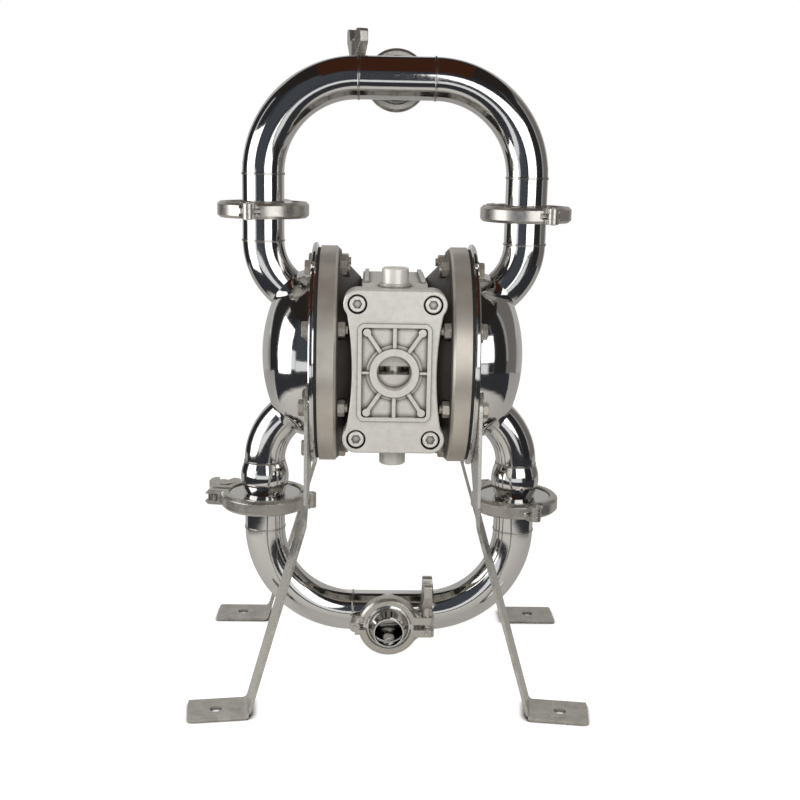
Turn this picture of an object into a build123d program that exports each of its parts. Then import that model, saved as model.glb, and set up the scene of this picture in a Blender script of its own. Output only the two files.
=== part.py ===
from build123d import *
from math import cos, radians, sin, sqrt, tan
import os

# Air operated double diaphragm pump in polished stainless steel, millimetres.
# Origin: on the floor under the middle of the pump. +X right, +Y rear, +Z up.
# The shaft lies along X; the two valve columns stand at X = +-column_x; the
# inlet looks forward (-Y) at the bottom, the outlet looks back (+Y) at the top.

os.makedirs("parts", exist_ok=True)

# ---- layout ----------------------------------------------------------------
shaft_z = 411.0            # height of the diaphragm shaft
column_x = 160.0           # each valve column, from the middle of the pump
top_run_z = 744.0          # axis of the discharge manifold's level run
bottom_run_z = 70.0        # axis of the suction manifold's level run
upper_joint_z = 587.0      # clamped joint over each chamber
lower_joint_z = 222.0      # clamped joint under each chamber

# ---- tube and welded fittings ---------------------------------------------
tube_od = 50.8
tube_wall = 1.65
manifold_bend_r = 114.3    # centreline radius of the manifold bends
elbow_r = 76.2             # centreline radius of the chamber elbows
elbow_rise = 139.0         # elbow's upright end, above or below the shaft
elbow_sweep = 66.0         # degrees of elbow before it is lost in the dome
bead_proud = 0.7           # weld bead, over the tube
bead_width = 2.6
housing_od = 60.4          # widest part of the lower ball housing
housing_neck_od = 49.0     # ball housing where it leaves the ferrule
housing_height = 36.0      # ball housing, ferrule back to elbow weld
port_tube_od = 38.1        # tube ends that the hoses join
nozzle_mouth = 27.0        # from the nozzle's joint plane to its open end
nozzle_cone = 13.0         # length of the nozzle's reducer
branch_reach = 49.5        # manifold axis to the nozzle's joint plane

# ---- clamped joints ----------------------------------------------------------
column_ferrule_r = 49.5
port_ferrule_r = 32.0
ferrule_rim = 3.5          # ferrule thickness at its rim
ferrule_slope = 20.0       # degrees, back face of the ferrule's rim
ferrule_back = 5.5         # ferrule thickness inside its sloped rim
gasket_thick = 4.0         # seat flange or gasket between two ferrules
clamp_height = 18.8        # across the band
clamp_wall = 5.8           # band outside the ferrule's rim
clamp_grip = 3.2           # how far the lips reach in over the rim
clamp_fit = 0.2            # clearance of the groove round the ferrules
clamp_gap = 7.0            # between the two jaws at hinge and ears
ear_thick = 9.5
ear_reach = 20.0           # ear, outside the band
bolt_reach = 10.5          # swing bolt axis, outside the band
swing_bolt_d = 8.0
eye_r = 6.4                # eye at the swing bolt's pinned end
hinge_reach = 4.5          # hinge pin axis, outside the band
knuckle_r = 6.5
hinge_pin_d = 5.0
wing_barrel_d = 13.0
wing_barrel_h = 21.0
wing_height = 26.0
wing_span = 40.0
wing_root = 16.0           # thickness of the wings beside the barrel
wing_tip = 10.0            # thickness of the wings at their ends
thread_fit = 0.05          # radial clearance of nuts and running parts

# ---- ball check valves ---------------------------------------------------------
ball_d = 38.1
ball_gap = 0.3             # ball over its seat, at rest
ball_lift = 9.0
seat_bore_r = 12.0
seat_hub_r = 22.0
seat_hub_h = 10.0
seat_cone = 6.0            # 45 degree cone that the ball sits on
seat_round = 1.5
cage_rod_d = 6.0
cage_gap = 1.0             # ball at full lift, under the cage rods

# ---- diaphragm chambers ----------------------------------------------------------
ring_inner_x = 65.0        # inner face of the cast chamber ring
ring_depth = 24.0
ring_r = 133.4
ring_bevel = 5.0
bolt_inset = 13.4          # bolt circle, inside the ring's edge
diaphragm_thick = 3.6
flange_thick = 6.0
flange_lip = 3.6           # rolled lip of the flange, outside the ring
dome_inset = 29.4          # dome's side wall, inside the ring's edge
dome_crown_r = 180.0
dome_knuckle_r = 52.0
dome_wall = 2.5
dish_x = 40.0              # where the cast dish seats on the centre block
dish_step = 25.0           # edge of the dish's flat back, inside the bolt circle
dish_floor = 8.0
mouth_inset = 14.0         # dish's open mouth, inside the bolt circle
mouth_depth = 15.0         # straight part of the mouth
dish_taper = 22.0          # mouth radius less floor radius
nut_seat_r = 11.5          # spot face cut in the dish for a nut
dish_hole_r = 34.0
stroke = 24.0              # shaft travel to each side
plate_r = 62.0
plate_thick = 9.0
plate_hub_r = 20.0
plate_edge = 4.0           # bevel of the inner plate's back
shaft_d = 20.0
spigot_d = 16.0
shaft_shoulder_x = 74.0
outer_plate_r = 58.0
outer_plate_thick = 10.0
plate_hex_af = 30.0        # hexagonal boss in the outer plate's middle
plate_hex_h = 8.0
socket_depth = 2.0         # blind end of the outer plate's threaded hole
convolution = 9.0          # depth of the diaphragm's rolled wave
wave_margin = 6.0          # wave's edge, outside the plates
bush_od = 30.0
bush_length = 22.0

# ---- chamber bolts ----------------------------------------------------------------
bolt_count = 8
bolt_d = 10.0
bolt_hole_d = 11.0
hex_af = 17.0
bolt_head_h = 6.4
nut_h = 8.4
washer_d = 20.0
washer_thick = 2.0
thread_end = 3.0

# ---- air motor -----------------------------------------------------------------------
cover_setback = 3.4        # cover's face, behind the chambers' front edge
cover_thick = 22.0
cover_gasket_thick = 1.5
valve_plate_thick = 12.5
screw_dx = 43.0            # cover screws, from the cover's middle
screw_dz = 78.5
lobe_r = 16.0
lobe_blend_r = 14.0        # between a lobe and the hollow side
waist_x = 48.6
waist_arc_r = 382.0
screw_d = 12.0
screw_head_d = 18.0
screw_head_h = 12.0
screw_recess_d = 22.5
screw_hex_af = 10.0
pocket_w = 84.0            # outside of the raised border on the cover
pocket_h = 113.0
border_w = 4.5
border_proud = 1.5
pocket_depth = 5.0
rib_w = 4.2
boss_w = 31.5              # small round bosses in the pocket's corners
boss_h = 46.5
boss_d = 9.0
port_boss_d = 56.4
port_step_d = 64.0
exhaust_d = 40.2
exhaust_depth = 18.0
slot_w = 36.0
slot_h = 10.0
valve_setback = 42.0       # spool's axis, behind the cover's face
valve_barrel_r = 18.0
spool_bore_r = 12.0
barrel_end_z = 98.5        # valve barrel's ends, from the shaft's height
cap_d = 31.0
cap_height = 18.0
cap_spigot = 10.5
cap_hex_af = 12.0
cap_hex_depth = 7.0
spool_length = 156.0
spool_neck_r = 7.5
block_half_x = 38.0
block_rear_y = 70.0
block_half_z = 97.0
lug_r = 12.0
air_port_d = 18.6
air_boss_d = 44.0
air_boss_h = 8.0           # air inlet's boss, over the block's round body
air_port_depth = 30.0
screw_grip = 16.0          # thread of a cover screw in the block
block_clear = 1.0          # gap between the castings and the dishes
block_drum_inset = 2.0     # block's round body, inside the dish's back
block_corner_r = 14.0
block_rib_w = 5.0
block_rib_proud = 4.0
block_rib_margin = 20.0    # rib's end, inside the block's front and back

# ---- legs ------------------------------------------------------------------------------
strap_w = 46.0
strap_thick = 4.0
bend_z = 242.0             # where the strap leaves the chamber's face
foot_hole_x = 206.3
foot_hole_y = 150.0
foot_hole_d = 14.5
foot_end_x = 242.0
foot_start_x = 171.0
foot_start_y = 146.0
foot_toe = 8.0             # degrees that the front legs turn outward below the bend
bend_inner_r = 4.0
strap_tail_r = 15.0        # strap's round end at its lower bolt
strap_neck = 12.0          # strap at full width, above the bend
foot_side = 2.0            # foot plate wider than the strap, each side

# ---- worked out from the above --------------------------------------------------------
tube_r = tube_od / 2
tube_bore_r = tube_r - tube_wall
ring_face_x = ring_inner_x + ring_depth
flange_x = ring_face_x + diaphragm_thick
flange_outer_x = flange_x + flange_thick
elbow_x = column_x - elbow_r
bolt_circle_r = ring_r - bolt_inset
dome_side_r = ring_r - dome_inset
dish_r = bolt_circle_r - dish_step
dish_mouth_r = bolt_circle_r - mouth_inset
cover_face_y = cover_setback - ring_r
valve_axis_y = cover_face_y + valve_setback
gasket_y = cover_face_y + cover_thick
valve_plate_y = gasket_y + cover_gasket_thick
block_front_y = valve_plate_y + valve_plate_thick
block_drum_r = dish_r - block_drum_inset
air_port_y = block_drum_r + air_boss_h
cone_drop = ferrule_back - ferrule_rim
ball_r = ball_d / 2
bolt_angles = [360 / bolt_count * (k + 0.5) for k in range(bolt_count)]


def save(node, solids):
    """Write one node; several separate solids go in as one compound."""
    if isinstance(solids, (list, tuple)):
        solids = Compound(children=[s for group in solids for s in group.solids()])
    export_step(solids, f"parts/{node}.step")


def disc_x(radius, x_from, x_to):
    """Cylinder about the X axis between two stations."""
    solid = Cylinder(radius, abs(x_to - x_from))
    return Pos((x_from + x_to) / 2, 0, 0) * (Rot(0, 90, 0) * solid)


def disc_y(radius, y_from, y_to):
    """Cylinder about the Y axis between two stations."""
    solid = Cylinder(radius, abs(y_to - y_from))
    return Pos(0, (y_from + y_to) / 2, 0) * (Rot(90, 0, 0) * solid)


def disc_z(radius, z_from, z_to):
    """Cylinder about the Z axis between two stations."""
    return Pos(0, 0, (z_from + z_to) / 2) * Cylinder(radius, abs(z_to - z_from))


def turned(points):
    """Solid of revolution about Z from (radius, z) points."""
    return revolve(Plane.XZ * make_face(Polyline(*points, close=True)), Axis.Z)


def turned_x(points):
    """Solid of revolution about X from (x, radius) points."""
    return revolve(make_face(Polyline(*points, close=True)), Axis.X)


def hexagon(across_flats, height):
    """Upright hexagonal prism standing on the XY plane."""
    face = RegularPolygon(across_flats / 2, 6, major_radius=False)
    return extrude(face, height)


def hex_head(across_flats, height):
    """Hexagon with its top corners turned off at 30 degrees."""
    corner = across_flats / sqrt(3)
    flat = across_flats * 0.47
    drop = (corner - flat) * tan(radians(30))
    return hexagon(across_flats, height) & turned([
        (0, 0), (corner, 0), (corner, height - drop), (flat, height), (0, height)])


def two_sides(node, right):
    """Save a right-hand piece and its mirror image."""
    save(f"{node}_right", [right])
    save(f"{node}_left", [mirror(right, about=Plane.YZ)])


# ---- clamped joints ----------------------------------------------------------------------
def ferrule(radius, neck_r, bore_r):
    """Clamp ferrule standing up from its joint face at z = 0."""
    slope_run = cone_drop / tan(radians(ferrule_slope))
    return turned([
        (bore_r, 0), (radius, 0), (radius, ferrule_rim),
        (radius - slope_run, ferrule_back), (neck_r, ferrule_back), (bore_r, ferrule_back),
    ])


def jaw_band(ferrule_r):
    """Full ring of the clamp: a V groove inside, a sloped outside."""
    half = clamp_height / 2
    lip_r = ferrule_r - clamp_grip
    groove_r = ferrule_r + clamp_fit
    outer_r = ferrule_r + clamp_wall + clamp_fit
    rim_z = gasket_thick / 2 + ferrule_rim + clamp_fit
    lip_z = rim_z + (groove_r - lip_r) * tan(radians(ferrule_slope))
    slope = clamp_height / 6
    return turned([
        (lip_r, lip_z), (groove_r, rim_z), (groove_r, -rim_z), (lip_r, -lip_z),
        (lip_r, -half), (outer_r - slope, -half), (outer_r, -half + slope),
        (outer_r, half - slope), (outer_r - slope, half), (lip_r, half),
    ])


def clamp_jaws(ferrule_r):
    """Two jaws about Z: hinge at -X, ears at +X, the nut side is +Y."""
    outer_r = ferrule_r + clamp_wall + clamp_fit
    hinge_x = outer_r + hinge_reach
    bolt_x = outer_r + bolt_reach
    height = clamp_height
    band = jaw_band(ferrule_r)
    keep_in = disc_z(ferrule_r + clamp_fit, -height, height)
    halves = []
    for side in (-1, 1):
        half = band & (Pos(0, side * outer_r, 0) * Box(3 * outer_r, 2 * outer_r - clamp_gap, height))
        ear_y = side * (clamp_gap + ear_thick) / 2
        ear_x = (ferrule_r + outer_r + ear_reach) / 2
        ear = Pos(ear_x, ear_y, 0) * Box(outer_r + ear_reach - ferrule_r, ear_thick, height)
        ear = fillet(ear.edges().filter_by(Axis.Y).sort_by(Axis.X)[-2:], height / 3)
        root = Pos(0, side * clamp_gap / 2, 0) * gusset(outer_r, ear_thick, side)
        arm_x = -(ferrule_r + hinge_x) / 2
        arm_y = side * (clamp_gap + knuckle_r) / 2
        arm = Pos(arm_x, arm_y, 0) * Box(hinge_x - ferrule_r, knuckle_r, height)
        half = half + ((ear + root + arm) - keep_in)
        halves.append(half)
    slot_end = bolt_x - eye_r - 0.6
    slot = Pos(slot_end + ear_reach, 0, 0) * Box(
        2 * ear_reach, 4 * ear_thick, swing_bolt_d + 1.0)
    hinge = Pos(-hinge_x, 0, 0)
    leaf = height / 3
    knuckle = hinge * Cylinder(knuckle_r, height)
    pin_hole = hinge * Cylinder(hinge_pin_d / 2 + thread_fit, height)
    middle = hinge * Box(4 * knuckle_r, 4 * knuckle_r, leaf)
    ends = hinge * (Pos(0, 0, leaf) * Box(4 * knuckle_r, 4 * knuckle_r, leaf))
    ends += hinge * (Pos(0, 0, -leaf) * Box(4 * knuckle_r, 4 * knuckle_r, leaf))
    lower = (halves[0] - slot - middle + (knuckle & ends)) - pin_hole
    upper = (halves[1] - slot - ends + (knuckle & middle)) - pin_hole
    eye_hole = Pos(bolt_x, -clamp_gap / 2 - ear_thick / 2, 0) * Cylinder(
        hinge_pin_d / 2 + thread_fit, height)
    return [lower - eye_hole, upper]


def gusset(outer_r, ear, side):
    """Web that carries the band's curve out into an ear."""
    rise = 2.1 * ear
    tip_x = outer_r + rise / 10
    face = Polygon((outer_r - rise, 0), (tip_x, 0), (tip_x, ear), (outer_r - rise / 2, rise),
                   align=None)
    web = extrude(face, clamp_height / 3, both=True)
    return web if side > 0 else mirror(web, about=Plane.XZ)


def clamp_hardware(ferrule_r):
    """Hinge pin, eye pin and the swing bolt lying along +Y."""
    outer_r = ferrule_r + clamp_wall + clamp_fit
    bolt_x = outer_r + bolt_reach
    eye_y = -(clamp_gap + ear_thick) / 2
    nut_y = clamp_gap / 2 + ear_thick
    end_y = nut_y + wing_barrel_h + wing_height / 3
    hinge_pin = Pos(-outer_r - hinge_reach, 0, 0) * Cylinder(hinge_pin_d / 2, clamp_height + 2)
    eye_pin = Pos(bolt_x, eye_y, 0) * Cylinder(hinge_pin_d / 2, clamp_height + 1)
    eye = Pos(bolt_x, eye_y, 0) * Cylinder(eye_r, swing_bolt_d - 0.8)
    shank = Pos(bolt_x, 0, 0) * disc_y(swing_bolt_d / 2, eye_y, end_y)
    bolt = (eye + shank) - (Pos(bolt_x, eye_y, 0) * Cylinder(
        hinge_pin_d / 2 + thread_fit, 2 * swing_bolt_d))
    return [hinge_pin, eye_pin, bolt]


def wing_nut(ferrule_r, turn):
    """Cast wing nut on the swing bolt, its wings turned about the bolt by turn."""
    bolt_x = ferrule_r + clamp_wall + clamp_fit + bolt_reach
    base_y = clamp_gap / 2 + ear_thick
    top = wing_barrel_h + wing_height
    half = wing_span / 2
    stem = wing_barrel_d / 2
    face = Polygon(
        (-stem + 1, wing_barrel_h / 2), (-half, wing_barrel_h + wing_height * 0.4),
        (-half, top), (-half / 2, top), (-stem + 1, top - wing_height * 0.55),
        (stem - 1, top - wing_height * 0.55), (half / 2, top), (half, top),
        (half, wing_barrel_h + wing_height * 0.4), (stem - 1, wing_barrel_h / 2), align=None)
    face = fillet(face.vertices().group_by(Axis.Y)[-1], half / 5)
    wings = extrude(face, wing_root / 2, both=True)
    bow = Plane.XZ * Polygon((-half, -wing_tip / 2), (0, -wing_root / 2), (half, -wing_tip / 2),
                             (half, wing_tip / 2), (0, wing_root / 2), (-half, wing_tip / 2),
                             align=None)
    wings &= extrude(bow, 2 * top, both=True)
    barrel = disc_y(stem, 0, top - wing_height * 0.45)
    body = wings + barrel - disc_y(swing_bolt_d / 2 + thread_fit, -1, top + 1)
    return [Pos(bolt_x, base_y, 0) * (Rot(0, 90 + turn, 0) * body)]


def place_clamp(name, ferrule_r, wing_turn, where):
    """Save one clamp's jaws, bolt and wing nut at a joint."""
    save(f"clamp_{name}_jaws", [where * s for s in clamp_jaws(ferrule_r)])
    save(f"clamp_{name}_bolt", [where * s for s in clamp_hardware(ferrule_r)])
    save(f"clamp_{name}_wing_nut", [where * s for s in wing_nut(ferrule_r, wing_turn)])


# ---- fluid chambers ----------------------------------------------------------------------
def dome_solid(shrink):
    """Torispherical dome about X, its wall moved in by shrink; open side at the flange."""
    side = dome_side_r - shrink
    knuckle = dome_knuckle_r - shrink
    crown = dome_crown_r - shrink
    centre_r = side - knuckle
    depth = crown - sqrt((crown - knuckle) ** 2 - centre_r ** 2)
    centre_x = flange_outer_x
    apex_x = centre_x + depth
    scale = crown / (crown - knuckle)
    join_r = centre_r * scale
    join_x = apex_x - crown + sqrt(crown ** 2 - join_r ** 2)
    mid = knuckle * sqrt(0.5)
    edges = [
        Line((flange_x - shrink, 0), (apex_x, 0)),
        ThreePointArc((apex_x, 0), (apex_x - crown + sqrt(crown ** 2 - join_r ** 2 / 4), join_r / 2),
                      (join_x, join_r)),
        ThreePointArc((join_x, join_r), (centre_x + mid, centre_r + mid), (centre_x, side)),
        Line((centre_x, side), (flange_x - shrink, side)),
        Line((flange_x - shrink, side), (flange_x - shrink, 0)),
    ]
    return revolve(make_face(edges), Axis.X)


def elbow(radius, up):
    """Chamber elbow as a solid rod of the given radius, shaft at z = 0."""
    rod = revolve(Plane.XY * (Pos(elbow_r, 0) * Circle(radius)), Axis.Y, elbow_sweep)
    rod = Pos(elbow_x, 0, elbow_rise) * rod
    return rod if up else mirror(rod, about=Plane.XY)


def housing_profile(shrink):
    """Pear-shaped ball housing below the lower elbow; z from the joint."""
    foot = gasket_thick / 2 + ferrule_back - 0.5
    top = shaft_z - elbow_rise - lower_joint_z
    belly = foot + (top - foot) * 0.48
    edges = [
        Line((0, foot - shrink), (housing_neck_od / 2 - shrink, foot - shrink)),
        Spline((housing_neck_od / 2 - shrink, foot - shrink), (housing_od / 2 - shrink, belly),
               (tube_r - shrink, top)),
        Line((tube_r - shrink, top), (0, top)),
        Line((0, top), (0, foot - shrink)),
    ]
    return revolve(Plane.XZ * make_face(edges), Axis.Z)


def weld_bead(radius):
    """Rounded bead round an upright tube, centred on z = 0."""
    ring = Torus(radius, bead_width / 2)
    return ring & Cylinder(radius + bead_proud, bead_width)


def cage_rods(height):
    """Two crossed rods that stop the ball; height from the joint."""
    rod = disc_x(cage_rod_d / 2, -tube_r + 0.4, tube_r - 0.4)
    return Pos(0, 0, height) * (rod + Rot(0, 0, 90) * rod)


def outer_chamber():
    """Right-hand dome with both elbows, ball housing and ferrules, one weldment."""
    joint_up = upper_joint_z - shaft_z
    joint_down = lower_joint_z - shaft_z
    face = gasket_thick / 2
    top_tube = disc_z(tube_r, elbow_rise, joint_up - face)
    top_bore = disc_z(tube_bore_r, elbow_rise, joint_up - face)
    flange = turned_x([
        (flange_x, 0), (flange_outer_x, 0), (flange_outer_x, ring_r + flange_lip - 1.5),
        (flange_outer_x - 1.5, ring_r + flange_lip), (flange_x + 1.5, ring_r + flange_lip),
        (flange_x + 1.5, ring_r + 0.4), (flange_x, ring_r)])
    skin = dome_solid(0) + flange + elbow(tube_r, True) + elbow(tube_r, False)
    skin += Pos(column_x, 0, 0) * top_tube
    housing = Pos(column_x, 0, joint_down)
    skin += housing * housing_profile(0)
    upper_ferrule = Rot(180, 0, 0) * ferrule(column_ferrule_r, tube_r, tube_bore_r)
    skin += Pos(column_x, 0, joint_up - face) * upper_ferrule
    skin += Pos(column_x, 0, joint_down + face) * ferrule(
        column_ferrule_r, housing_neck_od / 2, tube_bore_r)
    for z in (elbow_rise, -elbow_rise):
        skin += Pos(column_x, 0, z) * weld_bead(tube_r)
    hollow = dome_solid(dome_wall) + elbow(tube_bore_r, True) + elbow(tube_bore_r, False)
    hollow += Pos(column_x, 0, 0) * top_bore
    hollow += housing * housing_profile(tube_wall)
    hollow += Pos(column_x, 0, joint_down) * disc_z(tube_bore_r, 0, housing_height / 2)
    body = skin - hollow
    body += Pos(column_x, 0, joint_down) * cage_rods(stop_height())
    holes = chamber_holes(flange_x - 1, flange_outer_x + 1)
    return Pos(0, 0, shaft_z) * (body - holes)


def ball_seat_height():
    """Ball centre over the joint when it sits on its 45 degree seat."""
    cone_top_r = seat_bore_r + seat_cone
    return gasket_thick / 2 + seat_hub_h - cone_top_r + ball_r * sqrt(2)


def stop_height():
    """Cage rods' axis over the joint."""
    return ball_seat_height() + ball_gap + ball_r + ball_lift + cage_gap + cage_rod_d / 2


def chamber_holes(x_from, x_to, radius=bolt_hole_d / 2):
    """Clearance holes on the chamber's bolt circle, about the X axis."""
    rod = disc_x(radius, x_from, x_to)
    return [Rot(angle, 0, 0) * (Pos(0, 0, bolt_circle_r) * rod) for angle in bolt_angles]


def dish_envelope(grow):
    """Outside of the cast dish about X, grown for clearance."""
    return turned_x([
        (dish_x - grow, 0), (dish_x - grow, dish_r + grow), (ring_inner_x, bolt_circle_r + grow),
        (ring_inner_x, 0)])


def air_chamber():
    """Right-hand cast air chamber: ring, conical dish, spot-faced nut seats."""
    skin = dish_envelope(0) + turned_x([
        (ring_inner_x, 0), (ring_inner_x, ring_r - ring_bevel),
        (ring_inner_x + ring_bevel, ring_r), (ring_face_x, ring_r), (ring_face_x, 0)])
    floor_x = dish_x + dish_floor
    hollow = turned_x([
        (floor_x, 0), (floor_x, dish_mouth_r - dish_taper),
        (ring_face_x - mouth_depth, dish_mouth_r),
        (ring_face_x, dish_mouth_r), (ring_face_x, 0)])
    body = skin - hollow - disc_x(dish_hole_r, dish_x - 1, floor_x + 1)
    body -= chamber_holes(dish_x - 1, ring_inner_x, nut_seat_r)
    body -= chamber_holes(ring_inner_x - 1, ring_face_x + 1)
    return Pos(0, 0, shaft_z) * body


def diaphragm():
    """Right-hand rubber diaphragm with one rolled convolution."""
    x_in, x_out = ring_face_x, flange_x
    inner_r, outer_r = plate_r + wave_margin, dish_mouth_r - wave_margin + 2
    half, sag = (outer_r - inner_r) / 2, convolution
    mid_r = (inner_r + outer_r) / 2
    arc_r = (half ** 2 + sag ** 2) / (2 * sag)
    wide = sqrt((arc_r + diaphragm_thick) ** 2 - (arc_r - sag + diaphragm_thick) ** 2)
    hole_r = spigot_d / 2 + thread_fit
    rim_r = ring_r - 2.4
    edges = [
        Line((x_out, hole_r), (x_out, inner_r)),
        ThreePointArc((x_out, inner_r), (x_out - sag, mid_r), (x_out, outer_r)),
        Line((x_out, outer_r), (x_out, rim_r)),
        Line((x_out, rim_r), (x_in, rim_r)),
        Line((x_in, rim_r), (x_in, mid_r + wide)),
        ThreePointArc((x_in, mid_r + wide), (x_in - sag, mid_r), (x_in, mid_r - wide)),
        Line((x_in, mid_r - wide), (x_in, hole_r)),
        Line((x_in, hole_r), (x_out, hole_r)),
    ]
    sheet = revolve(make_face(edges), Axis.X)
    return Pos(0, 0, shaft_z) * (sheet - chamber_holes(x_in - 1, x_out + 1))


def inner_plate():
    """Air-side diaphragm plate against the shaft's shoulder."""
    bore_r = spigot_d / 2 + thread_fit
    x_back = ring_face_x - plate_thick
    return Pos(0, 0, shaft_z) * turned_x([
        (shaft_shoulder_x, bore_r), (shaft_shoulder_x, plate_hub_r),
        (x_back, plate_hub_r + plate_edge), (x_back, plate_r - plate_edge),
        (x_back + plate_edge, plate_r), (ring_face_x, plate_r),
        (ring_face_x, bore_r)])


def outer_plate():
    """Fluid-side plate with a hexagonal boss, screwed on the shaft's end."""
    x_top = flange_x + outer_plate_thick
    bore_r = spigot_d / 2 + thread_fit
    plate = turned_x([
        (flange_x, bore_r), (flange_x, outer_plate_r), (flange_x + 3, outer_plate_r),
        (x_top, outer_plate_r * 0.6), (x_top, 0), (x_top - socket_depth, 0),
        (x_top - socket_depth, bore_r)])
    boss = Pos(x_top, 0, 0) * (Rot(0, 90, 0) * hexagon(plate_hex_af, plate_hex_h))
    return Pos(0, 0, shaft_z) * (plate + boss)


def diaphragm_shaft():
    """Ground shaft with a shouldered spigot at each end."""
    end_x = flange_x + outer_plate_thick - socket_depth - 1
    rod = disc_x(shaft_d / 2, -shaft_shoulder_x, shaft_shoulder_x)
    rod += disc_x(spigot_d / 2, -end_x, end_x)
    return Pos(0, 0, shaft_z) * rod


def shaft_bush(side):
    """Plain bush in the centre block."""
    outer_x = dish_x + dish_floor - 4.0
    ring = disc_x(bush_od / 2, side * (outer_x - bush_length), side * outer_x)
    ring -= disc_x(shaft_d / 2 + thread_fit, -100, 100)
    return Pos(0, 0, shaft_z) * ring


def chamber_bolt_set():
    """Bolts, washers and nuts of the right-hand chamber; strap bolts sit higher."""
    pieces = []
    inner_end = ring_inner_x - nut_h - thread_end
    for angle in bolt_angles:
        height = cos(radians(angle))
        lift = strap_thick if height < 0 else 0.0
        seat = flange_outer_x + lift
        washer = disc_x(washer_d / 2, seat, seat + washer_thick)
        washer -= disc_x(bolt_d / 2 + thread_fit, seat - 1, seat + washer_thick + 1)
        head_x = seat + washer_thick
        head = Pos(head_x, 0, 0) * (Rot(0, 90, 0) * hex_head(hex_af, bolt_head_h))
        bolt = head + disc_x(bolt_d / 2, inner_end, head_x)
        nut = Pos(ring_inner_x, 0, 0) * (Rot(0, -90, 0) * hex_head(hex_af, nut_h))
        nut -= disc_x(bolt_d / 2 + thread_fit, ring_inner_x - nut_h - 1, ring_inner_x + 1)
        place = Pos(0, 0, shaft_z) * (Rot(angle, 0, 0) * Pos(0, 0, bolt_circle_r))
        pieces += [place * washer, place * bolt, place * nut]
    return pieces


# ---- manifolds ------------------------------------------------------------------------------
def manifold_rod(radius, run_z, joint_face_z):
    """Solid rod along the manifold's U: two uprights, two bends, a level run."""
    turn = 1 if run_z > joint_face_z else -1
    bend_z = run_z - turn * manifold_bend_r
    run_x = column_x - manifold_bend_r
    rod = Pos(0, 0, run_z) * disc_x(radius, -run_x, run_x)
    quarter = revolve(Pos(manifold_bend_r, 0) * Circle(radius), Axis.Y, -90)
    quarter = quarter if turn > 0 else mirror(quarter, about=Plane.XY)
    right = Pos(run_x, 0, bend_z) * quarter
    right += Pos(column_x, 0, 0) * disc_z(radius, joint_face_z, bend_z)
    return rod + right + mirror(right, about=Plane.YZ)


def branch(radius, reach, side):
    """Side outlet of a manifold, solid, towards the front (-1) or rear (+1)."""
    return disc_y(radius, 0, side * reach)


def port_ferrule(side):
    """Ferrule at a manifold's side outlet, joint face towards side."""
    face_y = branch_reach - gasket_thick / 2
    turn = Rot(-90, 0, 0) if side < 0 else Rot(90, 0, 0)
    ring = ferrule(port_ferrule_r, tube_r, tube_bore_r)
    return Pos(0, side * face_y, 0) * (turn * ring)


def manifold(run_z, joint_face_z, side):
    """Welded manifold: U tube, two ferrules, a side outlet and the bend welds."""
    up = run_z > joint_face_z
    reach = branch_reach - gasket_thick / 2 - 1.0
    skin = manifold_rod(tube_r, run_z, joint_face_z)
    skin += Pos(0, 0, run_z) * (branch(tube_r - 0.4, reach, side) + port_ferrule(side))
    end = ferrule(column_ferrule_r, tube_r, tube_bore_r)
    end = end if up else Rot(180, 0, 0) * end
    turn = 1 if up else -1
    bead_z = run_z - turn * manifold_bend_r
    bead_x = column_x - manifold_bend_r
    for sx in (-1, 1):
        skin += Pos(sx * column_x, 0, joint_face_z) * end
        skin += Pos(sx * column_x, 0, bead_z) * weld_bead(tube_r)
        skin += Pos(sx * bead_x, 0, run_z) * (Rot(0, 90, 0) * weld_bead(tube_r))
    bore = manifold_rod(tube_bore_r, run_z, joint_face_z)
    bore += Pos(0, 0, run_z) * branch(tube_bore_r - 0.4, branch_reach, side)
    return skin - bore


def nozzle(side):
    """Reducing nozzle from the clamped joint down to the port tube."""
    small_r = port_tube_od / 2
    back = ferrule_back + 1.0
    cone_end = back + nozzle_cone
    length = nozzle_mouth - gasket_thick / 2
    wall = tube_wall
    shell = turned([
        (tube_bore_r, 0), (port_ferrule_r, 0), (port_ferrule_r, ferrule_rim),
        (port_ferrule_r - cone_drop / tan(radians(ferrule_slope)), ferrule_back),
        (tube_r, ferrule_back), (tube_r, back), (small_r, cone_end), (small_r, length),
        (small_r - wall, length), (small_r - wall, cone_end), (tube_bore_r, back - 1.0)])
    turn = Rot(90, 0, 0) if side < 0 else Rot(-90, 0, 0)
    return Pos(0, side * (branch_reach + gasket_thick / 2), 0) * (turn * shell)


def port_gasket(side):
    """Flat gasket in a nozzle joint."""
    half = gasket_thick / 2
    ring = disc_y(port_ferrule_r, branch_reach - half, branch_reach + half)
    ring -= disc_y(tube_bore_r, 0, 2 * branch_reach)
    return ring if side > 0 else mirror(ring, about=Plane.XZ)


def valve_seat(sx, joint_z):
    """Ball seat whose flange is also the joint's gasket."""
    half = gasket_thick / 2
    top = half + seat_hub_h
    ring = turned([
        (seat_bore_r, -half), (column_ferrule_r, -half), (column_ferrule_r, half),
        (seat_hub_r, half), (seat_hub_r, top - seat_round), (seat_hub_r - seat_round, top),
        (seat_bore_r + seat_cone, top), (seat_bore_r, top - seat_cone)])
    return Pos(sx * column_x, 0, joint_z) * ring


def check_ball(sx, joint_z):
    """Check ball resting a hair over its seat."""
    return Pos(sx * column_x, 0, joint_z + ball_seat_height() + ball_gap) * Sphere(ball_r)


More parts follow.
